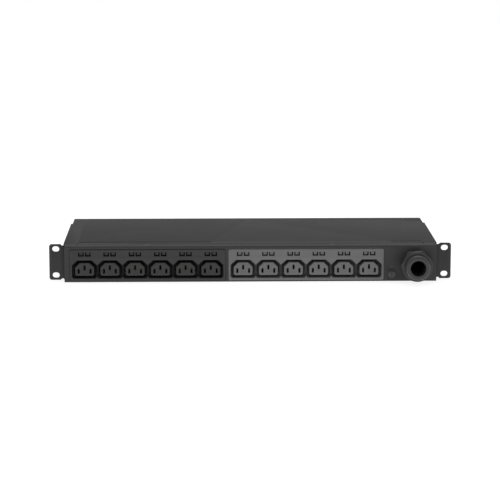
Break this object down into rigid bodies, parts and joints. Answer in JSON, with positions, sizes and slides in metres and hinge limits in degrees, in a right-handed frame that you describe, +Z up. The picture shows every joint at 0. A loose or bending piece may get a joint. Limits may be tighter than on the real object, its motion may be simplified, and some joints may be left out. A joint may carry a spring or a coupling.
{
  "type": "rack power distribution strip",
  "caption": "One-unit rack power strip: black sheet steel box with set-back ears, two banks of appliance outlets, a screwed cable gland and an earth screw.",
  "frame": {"origin": "centre of the four rack slots, on the front plane of the rack ears", "axes": "+X along the front towards the cable gland, +Y from the front into the rack, +Z up"},
  "size_m": [0.481, 0.2274, 0.0432],
  "materials": {
    "chassis_paint": "fine-textured powder coat, charcoal black, satin",
    "ear_paint": "fine-textured powder coat, charcoal black, satin",
    "dark_bezel": "charcoal moulded plastic, satin, fine spark texture",
    "grey_bezel": "mid-grey moulded plastic, satin, fine spark texture",
    "black_housing": "black moulded plastic, matt",
    "grey_housing": "dark grey moulded plastic, matt",
    "gland_nylon": "black nylon, semi-gloss",
    "black_rubber": "black rubber, matt",
    "contact_brass": "rolled brass, bright",
    "zinc_plate": "zinc-plated steel",
    "black_screw": "black-passivated steel",
    "brown_wire": "brown wire insulation",
    "blue_wire": "blue wire insulation",
    "green_wire": "green and yellow wire insulation",
    "natural_nylon": "natural nylon",
    "insulating_film": "polyester insulating film"
  },
  "bodies": {
    "strip": {"base_tray": "chassis_paint", "top_cover": "chassis_paint", "cover_rail": "zinc_plate", "cover_screws": "black_screw", "left_rack_ear": "ear_paint", "right_rack_ear": "ear_paint", "ear_screws": "black_screw", "ear_clinch_nuts": "zinc_plate", "left_bezel": "dark_bezel", "left_outlet_cores": "dark_bezel", "left_housing": "black_housing", "left_back_cover": "black_housing", "left_line_bar": "contact_brass", "left_neutral_bar": "contact_brass", "left_earth_bar": "contact_brass", "right_bezel": "grey_bezel", "right_outlet_cores": "grey_bezel", "right_housing": "grey_housing", "right_back_cover": "black_housing", "right_line_bar": "contact_brass", "right_neutral_bar": "contact_brass", "right_earth_bar": "contact_brass", "spade_terminals": "natural_nylon", "line_lead": "brown_wire", "neutral_lead": "blue_wire", "earth_lead": "green_wire", "line_link": "brown_wire", "neutral_link": "blue_wire", "earth_link": "green_wire", "terminal_block": "natural_nylon", "terminal_sleeves": "contact_brass", "terminal_screws": "zinc_plate", "block_screws": "zinc_plate", "insulating_sheet": "insulating_film", "gland_body": "gland_nylon", "gland_face_seal": "black_rubber", "gland_locknut": "gland_nylon", "gland_seal_sleeve": "black_rubber", "earth_clinch_nut": "zinc_plate", "chassis_stud": "zinc_plate", "stud_nut": "zinc_plate", "bond_lug": "zinc_plate", "bond_lead": "green_wire", "earth_screw": "black_screw", "earth_washer": "black_screw"},
    "slip_ring": {"gland_slip_ring": "natural_nylon"},
    "dome_nut": {"gland_dome_nut": "gland_nylon"}
  },
  "joints": [
    {"name": "dome_nut_travel", "type": "slide", "parent": "strip", "child": "slip_ring", "axis": [0, -1, 0], "range_m": [-0.00151, 0.00601]},
    {"name": "dome_nut_turn", "type": "hinge", "parent": "slip_ring", "child": "dome_nut", "pos_m": [0.1965, -0.04, 0], "axis": [0, -1, 0], "range_deg": [-360, 1440]}
  ],
  "couplings": [
    {"joint": "dome_nut_travel", "follows": "dome_nut_turn", "m_per_rad": 0.00023873}
  ]
}
